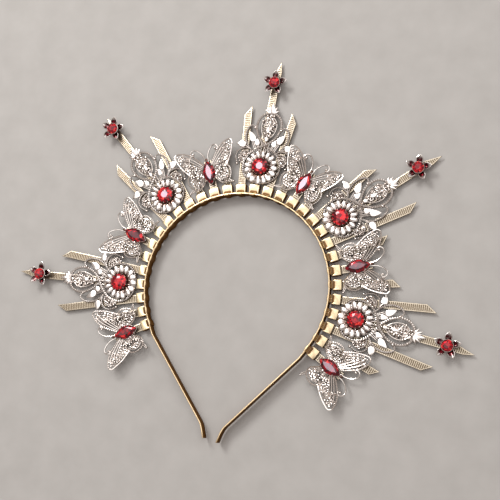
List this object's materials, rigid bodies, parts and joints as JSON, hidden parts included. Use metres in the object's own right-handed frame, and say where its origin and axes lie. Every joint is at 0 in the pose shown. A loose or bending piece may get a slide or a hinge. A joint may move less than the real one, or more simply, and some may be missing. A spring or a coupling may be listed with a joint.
{
  "type": "halo crown",
  "caption": "Halo crown: a sprung headband with folded sleeves that hold flat rays, filigree flower clusters and pierced butterflies with red stones.",
  "frame": {"origin": "centre of the crown's bounding box in X and Y, on the plane that its back rests on", "axes": "+X across the crown, +Y from the headband's ends towards the top ray, +Z out of the crown's front"},
  "size_m": [0.3146, 0.2557, 0.009],
  "materials": {
    "band_gold": "polished pale champagne gold plate",
    "ray_gold": "satin pale gold, cross-ribbed between polished borders",
    "filigree_silver": "bright warm silver plate, beaded and pierced",
    "petal_silver": "mirror-polished silver plate",
    "ruby": "faceted, foil-backed red glass"
  },
  "bodies": {
    "root": {"headband": "band_gold", "centre_ray_1": "ray_gold", "centre_ray_2": "ray_gold", "centre_ray_3": "ray_gold", "centre_ray_4": "ray_gold", "centre_ray_5": "ray_gold", "side_ray_1": "ray_gold", "side_ray_2": "ray_gold", "side_ray_3": "ray_gold", "side_ray_4": "ray_gold", "side_ray_5": "ray_gold", "side_ray_6": "ray_gold", "side_ray_7": "ray_gold", "side_ray_8": "ray_gold", "side_ray_9": "ray_gold", "side_ray_10": "ray_gold", "wing_ray_1": "ray_gold", "wing_ray_2": "ray_gold", "wing_ray_3": "ray_gold", "wing_ray_4": "ray_gold", "wing_ray_5": "ray_gold", "wing_ray_6": "ray_gold", "wing_ray_7": "ray_gold", "wing_ray_8": "ray_gold", "wing_ray_9": "ray_gold", "wing_ray_10": "ray_gold", "filigree_1": "filigree_silver", "filigree_2": "filigree_silver", "filigree_3": "filigree_silver", "filigree_4": "filigree_silver", "filigree_5": "filigree_silver", "butterfly_1": "filigree_silver", "butterfly_2": "filigree_silver", "butterfly_3": "filigree_silver", "butterfly_4": "filigree_silver", "butterfly_5": "filigree_silver", "butterfly_6": "filigree_silver", "tip_flower_1": "petal_silver", "tip_flower_2": "petal_silver", "tip_flower_3": "petal_silver", "tip_flower_4": "petal_silver", "tip_flower_5": "petal_silver", "flower_stone_1": "ruby", "flower_stone_2": "ruby", "flower_stone_3": "ruby", "flower_stone_4": "ruby", "flower_stone_5": "ruby", "tip_stone_1": "ruby", "tip_stone_2": "ruby", "tip_stone_3": "ruby", "tip_stone_4": "ruby", "tip_stone_5": "ruby", "butterfly_stone_1": "ruby", "butterfly_stone_2": "ruby", "butterfly_stone_3": "ruby", "butterfly_stone_4": "ruby", "butterfly_stone_5": "ruby", "butterfly_stone_6": "ruby"}
  },
  "joints": []
}
